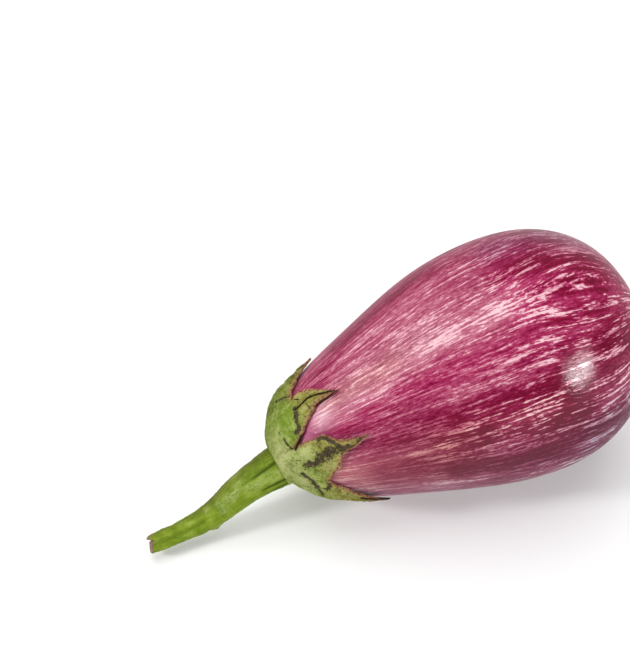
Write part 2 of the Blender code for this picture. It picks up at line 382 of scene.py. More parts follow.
def add_object(name, points, faces, material):
    mesh = bpy.data.meshes.new(name)
    mesh.from_pydata([tuple(point) for point in points], [], faces)
    mesh.materials.append(material)
    mesh.shade_smooth()
    mesh.update()
    item = bpy.data.objects.new(name, mesh)
    bpy.context.scene.collection.objects.link(item)
    return item


def add_rings(name, rings, start, end, material):
    """Closed mesh from a grid of rings, with a fan to one point at either end."""
    count, sides = rings.shape[:2]
    total = count * sides
    faces = rings_to_faces(count, sides)
    faces += fan_to_faces(total, 0, sides, False)
    faces += fan_to_faces(total + 1, total - sides, sides, True)
    return add_object(name, np.vstack((rings.reshape(-1, 3), start, end)), faces, material)


def add_attribute(item, name, grid, ends=None):
    """Numbers or vectors for a ring mesh. Without ends, both end points copy a neighbour."""
    size = grid.shape[2:]
    values = grid.reshape((-1, *size))
    values = np.concatenate((values, values[[0, -1]] if ends is None else ends))
    kind, field = ("FLOAT_VECTOR", "vector") if size else ("FLOAT", "value")
    layer = item.data.attributes.new(name, kind, "POINT")
    layer.data.foreach_set(field, values.astype(np.float32).ravel())


# ---------- node trees

class Tree:
    """Short calls for building one material's nodes."""

    def __init__(self, name):
        self.material = bpy.data.materials.new(name)
        self.material.use_nodes = True
        self.nodes = self.material.node_tree.nodes
        self.shader = self.nodes["Principled BSDF"]

    def link(self, value, socket):
        if isinstance(value, bpy.types.NodeSocket):
            self.material.node_tree.links.new(value, socket)
        else:
            socket.default_value = value

    def attribute(self, name, output="Fac"):
        node = self.nodes.new("ShaderNodeAttribute")
        node.attribute_name = name
        return node.outputs[output]

    def place(self):
        """Place on the object, in millimetres."""
        node = self.nodes.new("ShaderNodeTexCoord")
        return self.vector("MULTIPLY", node.outputs["Object"], (1000, 1000, 1000))

    def finish(self, sockets):
        """Sets the shader's sockets by name and gives the material."""
        for name, value in sockets.items():
            self.link(value, self.shader.inputs[name])
        return self.material

    def math(self, operation, first, second=0, clamp=False):
        node = self.nodes.new("ShaderNodeMath")
        node.operation = operation
        node.use_clamp = clamp
        self.link(first, node.inputs[0])
        self.link(second, node.inputs[1])
        return node.outputs[0]

    def add(self, first, second):
        return self.math("ADD", first, second)

    def less(self, first, second):
        return self.math("SUBTRACT", first, second)

    def times(self, first, second):
        return self.math("MULTIPLY", first, second)

    def vector(self, operation, *parts, output="Vector"):
        node = self.nodes.new("ShaderNodeVectorMath")
        node.operation = operation
        for part, socket in zip(parts, node.inputs):
            self.link(part, socket)
        return node.outputs[output]

    def noise(self, place, scale, detail=2, roughness=0.5, distortion=0):
        node = self.nodes.new("ShaderNodeTexNoise")
        self.link(place, node.inputs["Vector"])
        node.inputs["Scale"].default_value = scale
        node.inputs["Detail"].default_value = detail
        node.inputs["Roughness"].default_value = roughness
        node.inputs["Distortion"].default_value = distortion
        return node.outputs["Fac"]

    def remap(self, value, low, high, to_low=0, to_high=1, smooth=True):
        node = self.nodes.new("ShaderNodeMapRange")
        node.interpolation_type = "SMOOTHSTEP" if smooth else "LINEAR"
        self.link(value, node.inputs["Value"])
        for socket, number in zip(node.inputs[1:5], (low, high, to_low, to_high)):
            socket.default_value = number
        return node.outputs[0]

    def mixture(self, *parts):
        """Sum of noises about zero, each given with its weight."""
        total = 0
        for value, weight in parts:
            centred = self.times(self.less(value, 0.5), weight)
            total = self.add(total, centred)
        return total

    def blend(self, share, first, second):
        node = self.nodes.new("ShaderNodeMix")
        node.data_type = "RGBA"
        self.link(share, node.inputs[0])
        for value, socket in ((first, node.inputs[6]), (second, node.inputs[7])):
            self.link(value if isinstance(value, bpy.types.NodeSocket) else (*value, 1), socket)
        return node.outputs[2]

    def coats(self, colour, *coats):
        """Colour with coats laid over it in turn, each given as its share and its colour."""
        for share, coat in coats:
            colour = self.blend(share, colour, coat)
        return colour

    def ramp(self, value, stops):
        node = self.nodes.new("ShaderNodeValToRGB")
        elements = node.color_ramp.elements
        while len(elements) < len(stops):
            elements.new(0.5)
        for element, (place, colour) in zip(elements, stops):
            element.position = place
            element.color = (*colour, 1)
        self.link(value, node.inputs[0])
        return node.outputs[0]

    def bump(self, height, distance, strength=1, under=None):
        node = self.nodes.new("ShaderNodeBump")
        node.inputs["Strength"].default_value = strength
        node.inputs["Distance"].default_value = distance
        self.link(height, node.inputs["Height"])
        if under is not None:
            self.link(under, node.inputs["Normal"])
        return node.outputs[0]


# ---------- fruit

# Change of red, green and blue for painted shade, which makes the skin darker and a duller mauve, and
# where the skin is warm or blushing.
PAINTED_SHADE_TINT = np.array((-0.34, -0.05, -0.02))
WARM_TINT = np.array((0, 0, -0.25))
BLUSH_TINT = (0.11, -0.34, -0.02)
SKIN_FIELDS = ("tone", "spread", "gap", "blush")
MEAN_TONE = 0.47


def skin_material():
    tree = Tree("striped_skin")
    flow, tint = tree.attribute("flow", "Vector"), tree.attribute("tint", "Vector")
    tone, spread, gap, blush, mark = (tree.attribute(name) for name in (*SKIN_FIELDS, "scar"))
    broad = tree.noise(tree.vector("MULTIPLY", flow, (1, 1, 0.06)), 0.33, 2, 0.5)
    middle = tree.noise(tree.vector("MULTIPLY", flow, (1, 1, 0.14)), 0.85, 2, 0.6)
    fine = tree.noise(tree.vector("MULTIPLY", flow, (1, 1, 0.3)), 1.8, 3, 0.7)
    hair = tree.noise(tree.vector("MULTIPLY", flow, (1, 1, 0.055)), 1.1, 2, 0.6)
    ridge = tree.mixture((broad, 0.7), (middle, 0.9), (fine, 0.6), (hair, 0.9))
    lean = tree.times(tree.less(tone, MEAN_TONE), 0.22)
    streak = tree.remap(tree.add(ridge, lean), 0, 0.22)
    mottle = tree.mixture((middle, 1.2), (fine, 2.2), (hair, 1.4))
    pallor = tree.add(tone, tree.times(spread, tree.times(mottle, 2.2)))
    pallor = tree.add(pallor, tree.times(gap, tree.less(streak, 0.36)))
    colour = tree.ramp(tree.math("DIVIDE", pallor, 1.2), tuple(
        (place / 1.2, shade) for place, shade in (
            (0, (0.12, 0, 0.018)),
            (0.1, (0.155, 0.001, 0.026)),
            (0.2, (0.194, 0.006, 0.043)),
            (0.35, (0.245, 0.022, 0.07)),
            (0.5, (0.305, 0.047, 0.105)),
            (0.65, (0.37, 0.085, 0.147)),
            (0.8, (0.439, 0.138, 0.201)),
            (0.9, (0.502, 0.196, 0.257)),
            (1, (0.62, 0.32, 0.38)),
            (1.2, (0.74, 0.48, 0.52)),
        )
    ))
    full = tree.times(blush, tree.remap(pallor, 0.95, 0.55))
    shift = tree.vector("MULTIPLY_ADD", full, BLUSH_TINT, (1, 1, 1))
    # The tint holds the painted shade and the lilac of the painted highlight beside the calyx.
    colour = tree.vector("MULTIPLY", tree.vector("MULTIPLY", colour, tint), shift)
    cork = tree.noise(tree.place(), 1.6, 3, 0.65)
    ragged = tree.add(mark, tree.mixture((cork, 0.7), (hair, 0.9)))
    scar = tree.remap(ragged, 0.42, 0.58)
    fringe = tree.remap(ragged, 0.16, 0.5, 0, 0.7)
    corky = tree.ramp(cork, ((0.35, (0.075, 0.035, 0.018)), (0.62, (0.29, 0.165, 0.085))))
    colour = tree.coats(colour, (fringe, (0.42, 0.235, 0.19)), (scar, corky))
    skin_bump = tree.bump(tree.mixture((fine, 1), (hair, 0.6)), 0.00008)
    # The coat's high index keeps its reflections from blazing at a slant.
    return tree.finish({
        "Base Color": colour,
        "Normal": skin_bump,
        "Roughness": 0.36,
        "Specular IOR Level": 0,
        "Sheen Weight": 0.36,
        "Sheen Roughness": 0.35,
        "Coat Normal": skin_bump,
        "Coat Weight": tree.times(tree.less(1, scar), 0.06),
        "Coat IOR": 4,
        "Coat Roughness": 0.13,
    })


# Streaks part round a dark patch and sweep away from the top near the blossom end.
FORK_ANGLE = 104
FORK_WIDTH = 14
FORK_SWING = 5
SWEEP_ANGLE = 115
SWEEP_SWING = 8
DRIFT_START = 98 * MM
DRIFT_REACH = 35 * MM

# Bands of the skin pattern: angle and distance in millimetres where each starts and
# ends, half-width in degrees, softness of its ends in millimetres, change of tone.
BANDS = (
    # The first two bands, pale along the top, are partly the skin's pale streaking and partly a
    # painted broad reflection of the light from above.
    (94, 40, 98, 104, 18, 16, 0.3), (104, 52, 106, 116, 6, 8, 0.22),
    (100, 25, 100, 48, 10, 10, 0.1), (110, 100, 117, 150, 4, 8, 0.1),
    (121, 112, 119, 142, 5, 8, -0.14), (107, 136, 107, 152, 5, 6, 0.16),
    (84, 60, 86, 88, 6, 10, 0.08), (72, 46, 72, 112, 7, 14, 0.2),
    (82, 104, 88, 150, 8, 12, -0.12), (95, 116, 94, 130, 4, 8, 0.1),
    (102, 120, 100, 142, 5, 8, -0.14), (124, 100, 122, 140, 5, 8, 0.18),
    (131, 70, 129, 96, 5, 10, 0.14), (135, 91, 137, 107, 4, 7, 0.22),
    (136, 124, 141, 144, 6, 6, -0.22), (88, 97, 87, 112, 4, 7, -0.16),
    (75, 82, 75, 106, 4, 10, -0.1), (102, 111, 102, 124, 4, 6, -0.14),
    (144, 44, 140, 108, 6, 8, -0.18), (147, 76, 147, 100, 4, 8, 0.12),
    (157, 40, 156, 66, 4, 8, 0.18), (154, 82, 153, 106, 5, 8, 0.32),
    (160, 54, 158, 74, 4, 8, 0.16), (165, 76, 160, 94, 4, 8, 0.12),
    (175, 103, 177, 130, 7, 8, -0.24), (155, 20, 162, 38, 15, 10, 0.32),
    (180, 18, 182, 40, 12, 12, 0.22), (161, 50, 161, 112, 8, 10, -0.17),
    (166, 62, 166, 92, 3, 8, 0.16), (178, 62, 180, 104, 9, 10, -0.4),
    (186, 60, 186, 80, 4, 8, 0.14), (190, 25, 189, 66, 9, 12, 0.12),
    (164, 30, 164, 78, 16, 12, -0.08), (160, 116, 166, 134, 8, 5, 0.26),
    # The bands at 126 degrees, 16 to 27 millimetres, and at 108 degrees, 25 to 36, are a painted
    # highlight: a pale patch round the glint beside the calyx.
    (54, 42, 52, 88, 12, 8, -0.25), (126, 16, 124, 27, 13, 5, 0.3),
    (108, 25, 101, 36, 7, 5, 0.28), (121, 22, 121, 29, 5, 5, -0.22),
    (122, 32, 122, 48, 9, 8, -0.08), (114, 36, 113, 54, 7, 8, 0.26),
    (192, 56, 192, 76, 5, 8, 0.16), (156, 58, 156, 82, 5, 8, -0.16),
    (96, 100, 96, 116, 4, 8, 0.2), (111, 115, 111, 130, 4, 8, 0.18),
    (126, 114, 126, 124, 4, 8, 0.16), (131, 66, 131, 76, 4, 8, 0.14),
    (166, 114, 166, 130, 4, 8, 0.16), (146, 94, 146, 110, 4, 8, -0.14),
    (126, 82, 122, 90, 5, 6, -0.12), (121, 126, 124, 134, 4, 6, -0.14),
    (161, 62, 161, 76, 4, 6, 0.16), (161, 110, 161, 128, 4, 8, -0.18),
    (215, 50, 222, 130, 8, 15, 0.22), (240, 60, 236, 120, 8, 12, -0.25),
    (262, 40, 258, 110, 10, 15, 0.28), (284, 70, 288, 130, 9, 12, -0.22),
    (310, 40, 306, 100, 9, 15, 0.25), (332, 60, 336, 125, 9, 12, -0.25),
    (356, 45, 352, 118, 9, 15, 0.25), (22, 60, 24, 130, 10, 12, 0.2),
    (38, 90, 40, 140, 7, 10, -0.2),
)
# Contrast of the streaks. It rises from the neck's to the body's, later on the upper side
# than on the lower one, and fades at the blossom end. Distances are in millimetres.
NECK_CONTRAST = 0.22
BODY_CONTRAST = 0.74
CONTRAST_START = (45, 72)
CONTRAST_REACH = (70, 55)
FADE_START = 168
FADE_REACH = 25
# Sides of the fruit: the angles between which each starts, and those between which it ends.
UPPER_SIDE = ((15, 35), (132, 148))
# Painted shade lies on the lower side given next, growing towards the blossom end, and on a band on
# the upper far side given after it.
PAINTED_SHADE_SIDE = ((155, 185), (225, 275))
PAINTED_SHADE_START = 95
PAINTED_SHADE_REACH = 20
PAINTED_SHADE_BAND = (66, 100, 66, 140, 12, 12)
# The same as BANDS for the streaks' contrast, as a share of it, for warmth and for blush.
CONTRAST_BANDS = (
    (178, 60, 180, 110, 10, 12, -0.7), (156, 60, 152, 112, 9, 12, 0.6),
    (98, 20, 100, 100, 16, 16, -0.4), (66, 60, 70, 150, 18, 16, -0.45),
    # This band calms the streaks of the painted highlight beside the calyx.
    (122, 12, 121, 31, 14, 8, -0.7),
)
WARM_BANDS = (
    (166, 20, 166, 75, 18, 20, 0.9), (102, 30, 102, 62, 8, 16, 0.5),
    # The negative warmth at 124 degrees makes the painted highlight beside the calyx lilac.
    (124, 12, 122, 32, 14, 8, -0.6), (152, 60, 152, 110, 9, 14, 0.35),
    (182, 30, 182, 84, 9, 14, 0.45),
)
BLUSH_BANDS = (
    (102, 100, 108, 170, 32, 12, 1.2), (118, 52, 122, 100, 9, 14, 0.9),
    # The negative blush at 101 degrees greys the pale top band, which is partly a painted reflection.
    (118, 30, 120, 50, 10, 10, 0.9), (101, 30, 98, 76, 11, 16, -0.8),
    (160, 30, 162, 80, 14, 16, -0.4), (148, 64, 148, 108, 12, 14, 0.5),
)
# Where the skin is smooth rather than mottled. The second band smooths the painted highlight beside
# the calyx.
CALM_BANDS = ((162, 18, 172, 52, 20, 16), (124, 12, 122, 31, 14, 8))
MOTTLING = 0.27


def sector(angle, rise, fall):
    """Strength from 0 to 1 that rises between two angles and falls between two others."""
    middle = 0.5 * (rise[1] + fall[0])
    turn = angle_between(angle, middle)
    rising = ease(turn, rise[0] - middle, rise[1] - rise[0])
    return rising * ease(-turn, middle - fall[1], fall[1] - fall[0])


def band(distance, angle, start_angle, start, end_angle, end, half_width, softness):
    """Strength from 0 to 1 of one band lying along the fruit."""
    mm = distance / MM
    share = np.clip((mm - start) / (end - start), 0, 1)
    across = angle_between(angle, mix(start_angle, end_angle, share)) / half_width
    ends = ease((mm - start) / softness + 0.5) * ease((end - mm) / softness + 0.5)
    return np.exp(-across ** 2) * ends


def streak_drift(distance, angle):
    """How far the streaks have swung round the axis, in degrees, near the blossom end."""
    fork = angle_between(angle, FORK_ANGLE) / FORK_WIDTH
    fork = FORK_SWING * fork * np.exp(0.5 - 0.5 * fork ** 2)
    sweep = SWEEP_SWING * np.sin(np.radians(angle - SWEEP_ANGLE))
    return (fork + sweep) * ease(distance, DRIFT_START, DRIFT_REACH)


def total_of(bands, distance, angle):
    return sum(change * band(distance, angle, *place) for *place, change in bands)


def skin_fields(distance, angle):
    """Tone, mottling, streak contrast and blush of the skin pattern, and its tint, which holds painted
    shade and the lilac of a painted highlight.
    """
    mm = distance / MM
    tone = MEAN_TONE + total_of(BANDS, distance, angle)
    upper = sector(angle, *UPPER_SIDE)
    body = ease(mm, mix(*CONTRAST_START, upper), mix(*CONTRAST_REACH, upper))
    gap = mix(NECK_CONTRAST, BODY_CONTRAST, body) * (1 - 0.5 * ease(mm, FADE_START, FADE_REACH))
    for *place, change in CONTRAST_BANDS:
        gap = gap * (1 + change * band(distance, angle, *place))
    calm = np.maximum(*(band(distance, angle, *place) for place in CALM_BANDS))
    # Painted shade: darker, duller mauve on the lower side and on a band on the upper far side.
    painted_shade = sector(angle, *PAINTED_SHADE_SIDE) * (0.6 + 0.5 * ease(mm, PAINTED_SHADE_START, PAINTED_SHADE_REACH))
    painted_shade = painted_shade + 0.6 * band(distance, angle, *PAINTED_SHADE_BAND)
    tint = 1 + np.clip(painted_shade, 0, 1)[..., None] * PAINTED_SHADE_TINT
    tint = tint + total_of(WARM_BANDS, distance, angle)[..., None] * WARM_TINT
    return tone, MOTTLING * (1 - 0.65 * calm), gap, total_of(BLUSH_BANDS, distance, angle), tint


def scar_rise(away):
    """Height of the skin where the blossom came off: a dimple with a small nub in it."""
    nub = NUB_HEIGHT * np.exp(-(away / NUB_RADIUS) ** 2)
    return nub - SCAR_DEPTH * np.exp(-(away / SCAR_RADIUS) ** 2)


def build_fruit():
    share = np.linspace(0, 1, FRUIT_ROWS + 2)[1:-1]
    distances = SKIN_LENGTH * share
    angles = np.arange(FRUIT_SIDES) * 360 / FRUIT_SIDES
    along, round_it = np.meshgrid(distances, angles, indexing="ij")
    points = off_skin(along, round_it, scar_rise(SKIN_LENGTH - along))
    points[..., 2] = 0.5 * (points[..., 2] + np.hypot(points[..., 2], FLOOR_SOFTENING))
    poles = np.array((0, SKIN_LENGTH))
    ends = off_skin(poles, 0, scar_rise(SKIN_LENGTH - poles))
    fruit = add_rings("striped_fruit", points, *ends, skin_material())
    turn = np.radians(round_it - streak_drift(along, round_it))
    girth = FRUIT_RADIUS / MM
    flow = np.stack((girth * np.cos(turn), girth * np.sin(turn), along / MM), -1)
    add_attribute(fruit, "flow", flow, ((0, 0, 0), (0, 0, SKIN_LENGTH / MM)))
    *fields, tint = skin_fields(along, round_it)
    for name, values in zip(SKIN_FIELDS, fields):
        add_attribute(fruit, name, values, (values[0].mean(), values[-1].mean()))
    away = SKIN_LENGTH - along
    for height, waves in ((0.35, 3), (0.2, 7)):
        away = away + height * MM * np.sin(np.radians(waves * round_it))
    mark = np.exp(-(away / (0.75 * SCAR_RADIUS)) ** 2)
    add_attribute(fruit, "scar", mark, (0, 1))
    add_attribute(fruit, "tint", tint, (tint[0].mean(0), tint[-1].mean(0)))
    return fruit


# ---------- calyx

def stem_direction(droop):
    heading, fall = math.radians(STEM_HEADING), np.radians(droop)
    level = np.array((-math.cos(heading), math.sin(heading), 0))
    return level * np.cos(fall) - np.array((0, 0, 1)) * np.sin(fall)


SEAT_NORMAL = stem_direction(DROOPS[0])
POLE = off_skin(np.array(0), np.array(0), 0)
SEAT_CENTRE = POLE + round_the_axis(SEAT_ANGLE) * SEAT_OFFSET - AXIS * SEAT_HEIGHT
MM_PER_DEGREE = 0.4


def smooth_line(places, count):
    """Points spaced evenly along a smooth curve through places."""
    nodes = np.array(places, float)
    nodes = np.vstack((2 * nodes[0] - nodes[1], nodes, 2 * nodes[-1] - nodes[-2]))
    curve = []
    for before, start, end, after in zip(nodes, nodes[1:], nodes[2:], nodes[3:]):
        for share in np.linspace(0, 1, 12, endpoint=False):
            slopes = (end - before) * share + (2 * before - 5 * start + 4 * end - after) * share ** 2
            slopes = slopes + (3 * start - before - 3 * end + after) * share ** 3
            curve.append(start + 0.5 * slopes)
    curve = np.array(curve + [nodes[-2]])
    steps = np.hypot(np.diff(curve[:, 0]) * MM_PER_DEGREE, np.diff(curve[:, 1]))
    run = np.concatenate(([0], np.cumsum(steps)))
    even = np.linspace(0, run[-1], count)
    return np.stack((np.interp(even, run, curve[:, 0]), np.interp(even, run, curve[:, 1])), -1)


def calyx_outline():
    """Root angle, edge angle and edge distance of each column, and its sepal's number."""
    columns = []
    for index, (notch, first_edge, tip, second_edge, _) in enumerate(SEPALS):
        following = SEPALS[(index + 1) % len(SEPALS)][0]
        following = (following[0] + (360 if following[0] < notch[0] else 0), following[1])
        rising = smooth_line((notch, *first_edge, tip), FLANK_STEPS + 1)[:-1]
        falling = smooth_line((tip, *second_edge, following), FLANK_STEPS + 1)[:-1]
        edge = np.vstack((rising, falling))
        roots = np.linspace(notch[0], following[0], 2 * FLANK_STEPS, endpoint=False)
        sepal = np.full(len(edge), index)
        columns.append(np.column_stack((roots, edge[:, 0], edge[:, 1] * MM, sepal)))
    return np.vstack(columns)


def on_seat(radius, angle, depth):
    outward = round_the_axis(angle)
    outward = outward - (outward @ SEAT_NORMAL)[..., None] * SEAT_NORMAL
    return SEAT_CENTRE + unit(outward) * radius[..., None] - SEAT_NORMAL * depth[..., None]


def line_distance(distance, angle, places):
    """Distance in millimetres, measured on the skin, to a line through places."""
    girth = radius_at(distance) / MM
    best = np.full(distance.shape, 1e3)
    line = smooth_line(places, 2 + 2 * len(places)) if len(places) > 2 else np.array(places, float)
    for start, end in zip(line, line[1:]):
        across = np.radians(angle_between(angle, start[0])) * girth
        along = distance / MM - start[1]
        step_across = np.radians(end[0] - start[0]) * girth
        step_along = end[1] - start[1]
        share = (across * step_across + along * step_along) / (step_across ** 2 + step_along ** 2)
        share = np.clip(share, 0, 1)
        gap = np.hypot(across - share * step_across, along - share * step_along)
        best = np.minimum(best, gap)
    return best


def edge_distance(distance, angle, columns):
    """Distance in millimetres, measured on the skin, to the edge of the calyx."""
    girth = radius_at(distance) / MM
    best = np.full(distance.shape, 1e3)
    for _, edge_angle, reach, _ in columns:
        across = np.radians(angle_between(angle, edge_angle)) * girth
        best = np.minimum(best, across ** 2 + ((distance - reach) / MM) ** 2)
    return np.sqrt(best)


def calyx_marks(distance, angle):
    """Fields from 0 to 1 for each kind of mark and tint, and the depth of the marks."""
    fields = {kind: np.zeros(distance.shape) for kind in FIELD_NAMES}
    depth = np.zeros(distance.shape)
    for kind, half_width, deep, places in MARKS:
        away = line_distance(distance, angle, places) / half_width
        strength = np.exp(-away ** 2)
        fields[kind] = np.maximum(fields[kind], strength)
        depth = depth + deep * MM * (strength - 0.45 * np.exp(-(away - 2) ** 2))
    for kind, places in TINTS.items():
        for *place, strength in places:
            fields[kind] = np.maximum(fields[kind], strength * spot(distance / MM, angle, *place))
    return fields, depth


def calyx_lift(distance, angle, columns, edge):
    """How far the calyx stands off the skin, rising at its tips and parts of its edge."""
    sepal = columns[:, 3].astype(int)
    lengths = np.array([tip[1] for _, _, tip, _, _ in SEPALS])[sepal] * MM
    lifts = np.array([lift for *_, lift in SEPALS])[sepal] * MM
    towards_tip = ease(distance / lengths, TIP_START, 1 - TIP_START)
    place = np.stack((distance, np.radians(angle) * WAVE_GIRTH, 0 * distance), -1)
    curl = CURL * (1 + soft_noise(place, 7 * MM, 5)) * ease(1 - edge / CURL_WIDTH)
    return lifts * towards_tip + np.clip(curl, 0, None) * ease(distance, CURL_START, CURL_REACH)


def calyx_thickness(distance, angle, edge):
    thick = np.interp(distance, CAP_DISTANCES, CAP_THICKNESSES)
    for *place, rise in SWELLS:
        thick = thick + rise * spot(distance, angle, *place)
    return mix(RIM_THICKNESS, thick, ease(edge / RIM_WIDTH))


def calyx_relief(points, distance, angle, edge):
    """Veins, bumps and folds of the calyx's outer face."""
    leafy = ease(distance, LEAF_START, LEAF_REACH)
    relief = 0
    for on_dome, on_leaf, wavelength, seed in BUMPS:
        relief = relief + mix(on_dome, on_leaf, leafy) * MM * soft_noise(points, wavelength * MM, seed)
    for notch, _, tip, _, _ in SEPALS:
        fold = line_distance(distance, angle, ((notch[0], 8), notch)) / FOLD_WIDTH
        rib = line_distance(distance, angle, ((tip[0], 10), (tip[0], tip[1] - 6))) / RIB_WIDTH
        relief = relief - FOLD_DEPTH * np.exp(-fold ** 2) + RIB_HEIGHT * np.exp(-rib ** 2)
    relief = relief * ease(distance, SEAT_RADIUS, 3 * MM)
    return relief * mix(0.5, 1, ease(edge / 2))


def outer_face(distance, angle, columns):
    """Points of the calyx's outer face, and its fields."""
    edge = edge_distance(distance, angle, columns)
    lift = calyx_lift(distance, angle, columns, edge)
    thick = calyx_thickness(distance, angle, edge)
    smooth = off_skin(distance, angle, SKIN_GAP + thick + lift)
    fields, depth = calyx_marks(distance, angle)
    thick = thick + calyx_relief(smooth, distance, angle, edge) - depth
    cap = off_skin(distance, angle, SKIN_GAP + np.maximum(thick, LEAST_THICKNESS) + lift)
    reach = COLLAR_REACH + COLLAR_SWING * np.cos(np.radians(angle - COLLAR_ANGLE))
    blend = ease(distance, SEAT_RADIUS, reach - SEAT_RADIUS)
    crease = CREASE_DEPTH * (1 - ease(distance, CREASE_START, CREASE_REACH))
    seat = on_seat(np.minimum(distance, COLLAR_REACH), angle, crease)
    fields["edge"] = edge
    fields["reach"] = distance / MM
    return mix(seat, cap, blend[..., None]), fields


def calyx_material():
    tree = Tree("calyx_green")
    place = tree.place()
    broad = tree.noise(place, 0.22, 3, 0.6)
    fine = tree.noise(place, 1.1, 4, 0.65)
    blotch = tree.noise(place, 0.62, 3, 0.65)
    flecks = tree.noise(place, 1.8, 2, 0.6)
    grain = tree.noise(place, 3.2, 2, 0.6)
    field = {name: tree.attribute(name) for name in (*FIELD_NAMES, "edge", "reach")}
    mottle = tree.mixture((broad, 0.8), (fine, 0.9), (grain, 0.35))
    level = tree.add(mottle, 0.5)
    green = tree.ramp(level, (
        (0.28, (0.085, 0.135, 0.008)),
        (0.42, (0.16, 0.23, 0.025)),
        (0.54, (0.225, 0.3, 0.055)),
        (0.7, (0.34, 0.39, 0.13)),
    ))
    leaf = tree.ramp(level, (
        (0.3, (0.14, 0.115, 0.015)),
        (0.5, (0.27, 0.235, 0.055)),
        (0.7, (0.4, 0.35, 0.13)),
    ))
    olive = tree.ramp(level, ((0.38, (0.03, 0.04, 0.003)), (0.62, (0.12, 0.145, 0.012))))
    crust = tree.ramp(grain, ((0.38, (0.022, 0.015, 0.008)), (0.62, (0.105, 0.08, 0.042))))
    brown = tree.ramp(fine, ((0.42, (0.13, 0.045, 0.025)), (0.55, (0.34, 0.17, 0.085))))
    yellowing = tree.times(tree.remap(field["reach"], 19, 28), 0.8)
    dome, bright = (
        tree.math("MULTIPLY", field[name], tree.remap(mottle, *limits), clamp=True)
        for name, limits in (("dome", (-0.16, 0.06, 0.35, 0.95)), ("bright", (0.16, -0.1, 0.3, 0.95)))
    )
    spots = tree.add(tree.times(field["speckle"], 0.16), flecks)
    dry = tree.add(field["dry"], tree.times(tree.less(fine, 0.5), 1.6))
    pale = tree.less(tree.mixture((fine, 2), (grain, 1.6)), 0.1)
    ragged = tree.mixture((fine, 3.2), (flecks, 1.6), (grain, 1.6))
    tan = tree.remap(tree.add(field["edge"], ragged), 1.4, 0.5)
    blotched = tree.mixture((blotch, 2.8), (fine, 1.8), (grain, 0.5))
    rim = tree.add(field["edge"], tree.times(ragged, 0.3))
    crack = tree.add(field["crack"], tree.times(ragged, 0.35))
    colour = tree.coats(
        green,
        (yellowing, leaf),
        # The pale dome, partly a painted highlight.
        (dome, (0.425, 0.435, 0.18)),
        (bright, (0.14, 0.225, 0.012)),
        (tree.times(field["olive"], 0.85), olive),
        (tree.remap(spots, 0.71, 0.78), (0.075, 0.05, 0.014)),
        (tree.remap(dry, 0.35, 0.65), (0.16, 0.085, 0.045)),
        (tree.times(tree.remap(pale, 0, 0.35, 0, 0.6), yellowing), (0.44, 0.41, 0.19)),
        (tree.times(tan, 0.6), (0.34, 0.21, 0.09)),
        (tree.remap(tree.add(field["scab"], blotched), 0.41, 0.6), crust),
        (tree.remap(rim, 0.55, 0.3), brown),
        (tree.remap(crack, 0.35, 0.65), (0.03, 0.017, 0.006)),
    )
    rough = tree.add(fine, tree.times(grain, 0.4))
    return tree.finish({
        "Base Color": colour,
        "Normal": tree.bump(rough, 0.0005, 0.8),
        "Roughness": 0.6,
        "Specular IOR Level": 0.04,
    })


def calyx_edge_wave(angles, reaches):
    """How far the edge of the calyx wavers in and out."""
    place = np.stack((reaches, np.radians(angles) * EDGE_GIRTH, 0 * reaches), -1)
    waves = (share * soft_noise(place, length * MM, seed) for share, length, seed in EDGE_WAVES)
    return EDGE_WAVE * sum(waves)


def calyx_rim(outer, inner):
    """Rounded rows from the last row of the outer face to the first of the inner one."""
    outward = unit(outer[-1] - outer[-3])
    height = np.linalg.norm(outer[-1] - inner[0], axis=-1)[:, None]
    rim = []
    for step in range(1, RIM_ROWS):
        turn = math.pi * step / RIM_ROWS
        middle = mix(outer[-1], inner[0], 0.5 * (1 - math.cos(turn)))
        rim.append(middle + outward * (height * 0.5 * math.sin(turn)))
    return np.array(rim)


def build_calyx():
    columns = calyx_outline()
    roots, edges, reaches = columns[:, 0], columns[:, 1], columns[:, 2]
    start = 2 * MM
    share = np.linspace(0, 1, OUTER_ROWS)[:, None]
    distance = mix(start, reaches[None, :], share)
    angle = mix(roots[None, :], edges[None, :], share)
    near_edge = ease(share, WAVE_START, 1 - WAVE_START)
    distance = distance + calyx_edge_wave(edges, reaches)[None, :] * near_edge
    outer, fields = outer_face(distance, angle, columns)
    back = np.linspace(1, 0, INNER_ROWS)[:, None]
    inner_distance = mix(start, distance[-1:], back)
    inner_angle = mix(roots[None, :], edges[None, :], back)
    inner_edge = edge_distance(inner_distance, inner_angle, columns)
    lift = calyx_lift(inner_distance, inner_angle, columns, inner_edge)
    inner = off_skin(inner_distance, inner_angle, SKIN_GAP + lift)
    rows = np.concatenate((outer, calyx_rim(outer, inner), inner))
    centre = on_seat(np.array(0), np.array(0), np.array(CREASE_DEPTH))
    under = off_skin(0, 0, SKIN_GAP)
    calyx = add_rings("sepal_cap", rows, centre, under, calyx_material())
    inner_fields, _ = calyx_marks(inner_distance, inner_angle)
    inner_fields["edge"], inner_fields["reach"] = inner_edge, inner_distance / MM
    for name, values in fields.items():
        rim_values = np.repeat(values[-1:], RIM_ROWS - 1, axis=0)
        add_attribute(calyx, name, np.concatenate((values, rim_values, inner_fields[name])))
    return calyx


# ---------- stem

def along_stem(values, share):
    """Value along an evenly spaced list, with its corners softened."""
    places = np.linspace(0, 1, len(values))
    shifts = np.linspace(-BEND_SOFTENING, BEND_SOFTENING, 5)
    return np.mean([np.interp(share + shift, places, values) for shift in shifts], axis=0)


